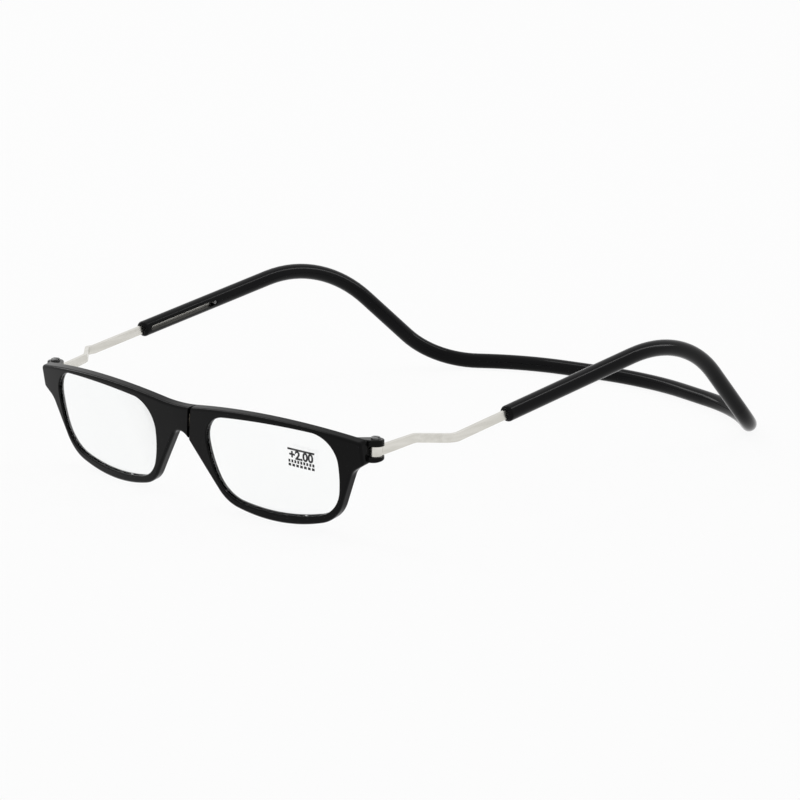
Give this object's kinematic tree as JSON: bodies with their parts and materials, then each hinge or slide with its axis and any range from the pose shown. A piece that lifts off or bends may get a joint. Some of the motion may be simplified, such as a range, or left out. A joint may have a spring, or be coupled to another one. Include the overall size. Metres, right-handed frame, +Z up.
{
  "type": "reading glasses",
  "caption": "Reading glasses in two halves that meet at a magnetic bridge, on sliding metal arms and a one-piece neckband.",
  "frame": {"origin": "middle of the whole object's box, on the plane that the glasses lie on", "axes": "-Y is the way the wearer looks, +X is the wearer's left, +Z is up"},
  "size_m": [0.1536, 0.2019, 0.0405],
  "materials": {
    "band_plastic": "moulded gloss black",
    "front_plastic": "polished black",
    "lens_clear": "clear polished",
    "magnet_nickel": "nickel plated",
    "screw_steel": "turned steel",
    "insert_brass": "turned brass",
    "arm_steel": "satin plated"
  },
  "bodies": {
    "band": {"neckband": "band_plastic"},
    "left_arm_slide": {"left_arm": "arm_steel", "left_stop_rivet": "screw_steel"},
    "left_front_half": {"left_front": "front_plastic", "left_lens": "lens_clear", "left_bridge_magnet": "magnet_nickel", "left_hinge_screw": "screw_steel", "left_hinge_insert": "insert_brass"},
    "right_arm_slide": {"right_arm": "arm_steel", "right_stop_rivet": "screw_steel"},
    "right_front_half": {"right_front": "front_plastic", "right_lens": "lens_clear", "right_bridge_magnet": "magnet_nickel", "right_hinge_screw": "screw_steel", "right_hinge_insert": "insert_brass"}
  },
  "joints": [
    {"name": "left_arm_extend", "type": "slide", "parent": "band", "child": "left_arm_slide", "axis": [0, -0.9884, -0.1516], "range_m": [0, 0.0255]},
    {"name": "left_front_fold", "type": "hinge", "parent": "left_arm_slide", "child": "left_front_half", "pos_m": [0.0655, -0.0879, 0.02522], "axis": [0, 0, -1], "range_deg": [0, 90]},
    {"name": "right_arm_extend", "type": "slide", "parent": "band", "child": "right_arm_slide", "axis": [0, -0.9884, -0.1516], "range_m": [0, 0.0255]},
    {"name": "right_front_fold", "type": "hinge", "parent": "right_arm_slide", "child": "right_front_half", "pos_m": [-0.0655, -0.0879, 0.02522], "axis": [0, 0, 1], "range_deg": [0, 90]}
  ]
}
